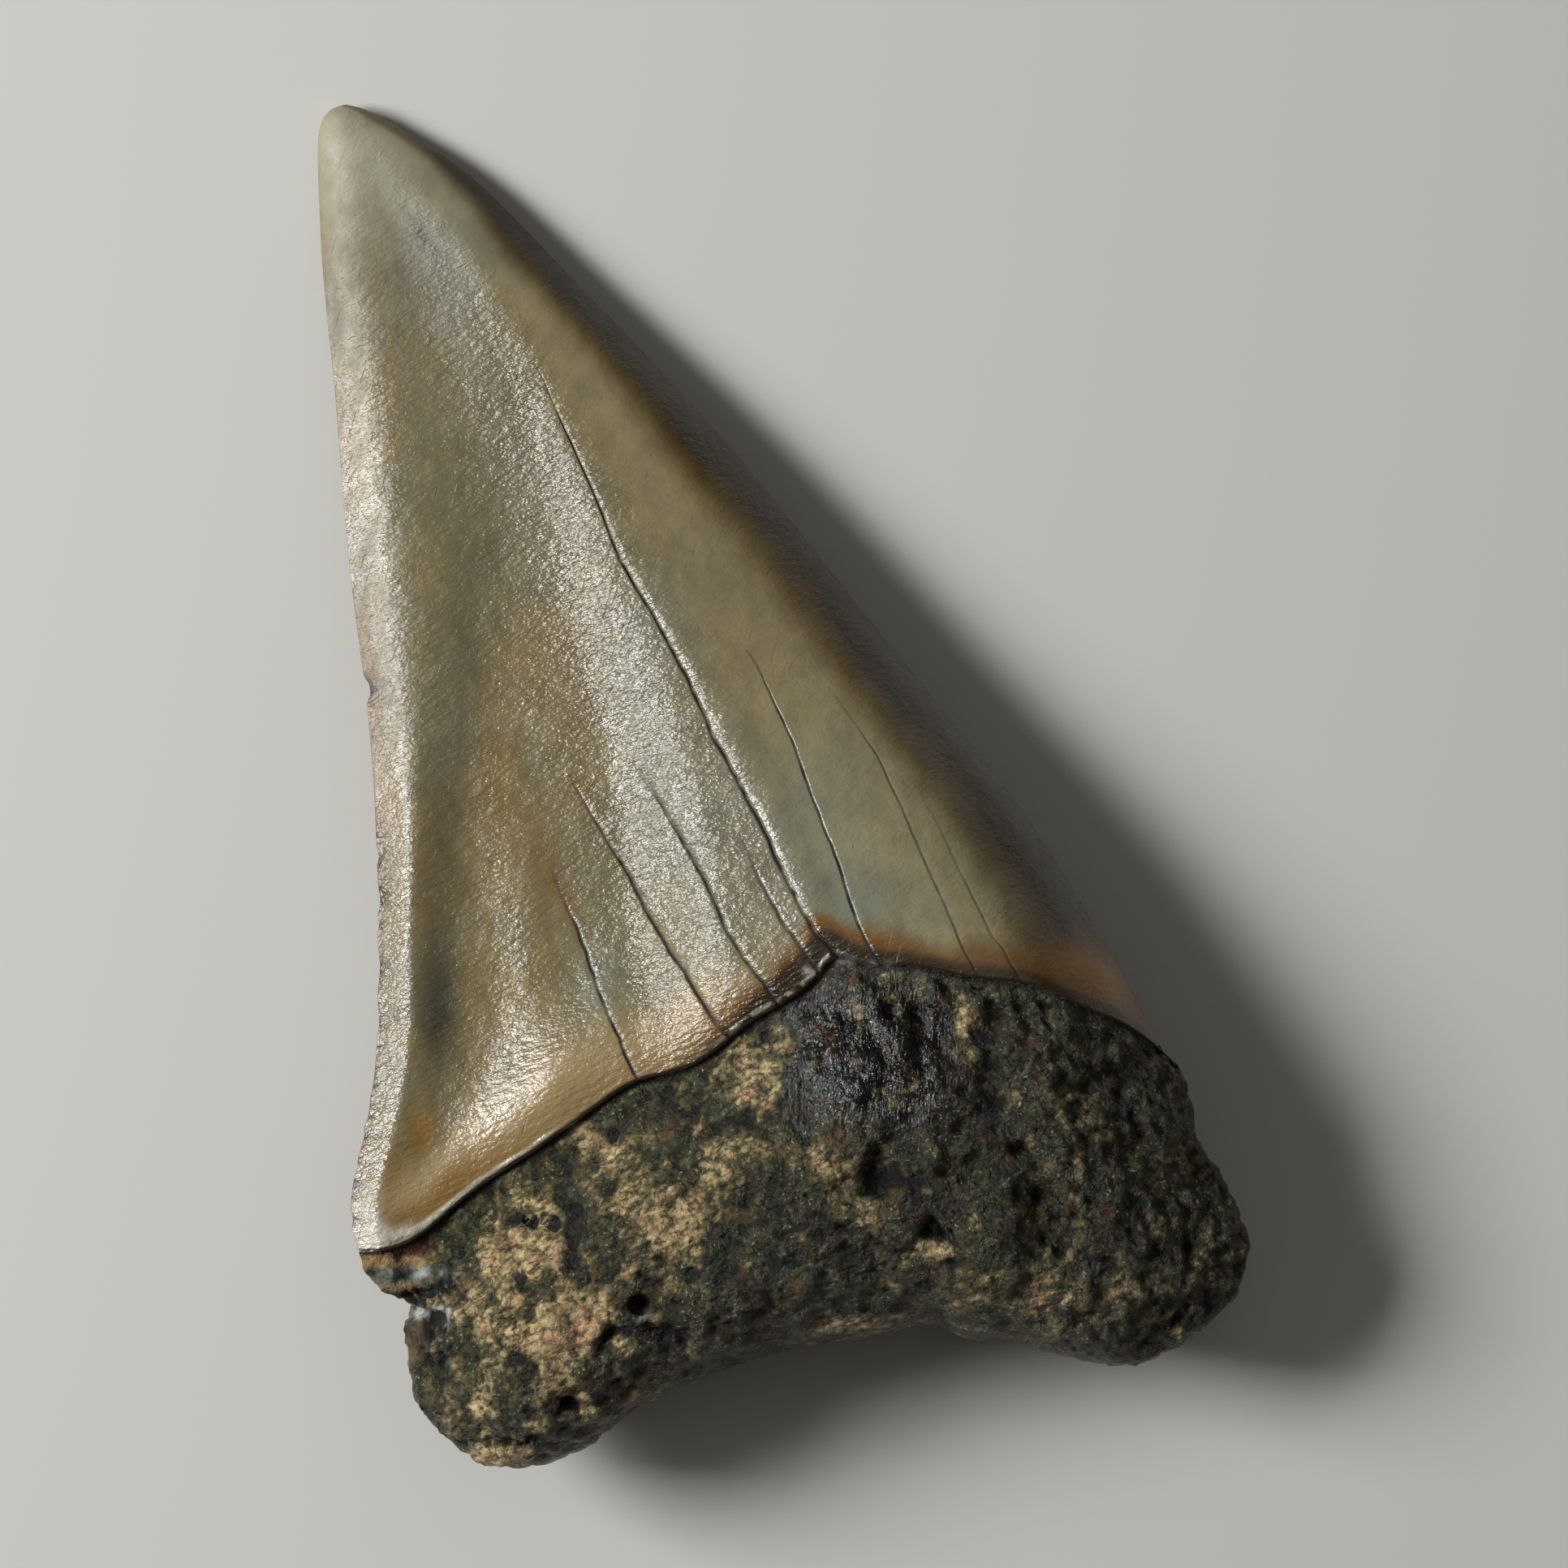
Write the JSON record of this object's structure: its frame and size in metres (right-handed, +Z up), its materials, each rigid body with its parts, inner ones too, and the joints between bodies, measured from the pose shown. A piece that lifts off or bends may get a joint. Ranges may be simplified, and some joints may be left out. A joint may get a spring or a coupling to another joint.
{
  "type": "fossil shark tooth",
  "caption": "Fossil mako shark tooth with a slanting triangular crown and a low two-lobed root, lying on its inner face.",
  "frame": {"origin": "centre of the tooth's plan box, on the surface that it rests on", "axes": "+Z up out of the outer face, +Y towards the tip, +X towards the right root lobe seen from above"},
  "size_m": [0.0346, 0.0506, 0.0106],
  "materials": {
    "fossil_enamel_and_bone": "satin"
  },
  "bodies": {
    "root": {"tooth": "fossil_enamel_and_bone"}
  },
  "joints": []
}
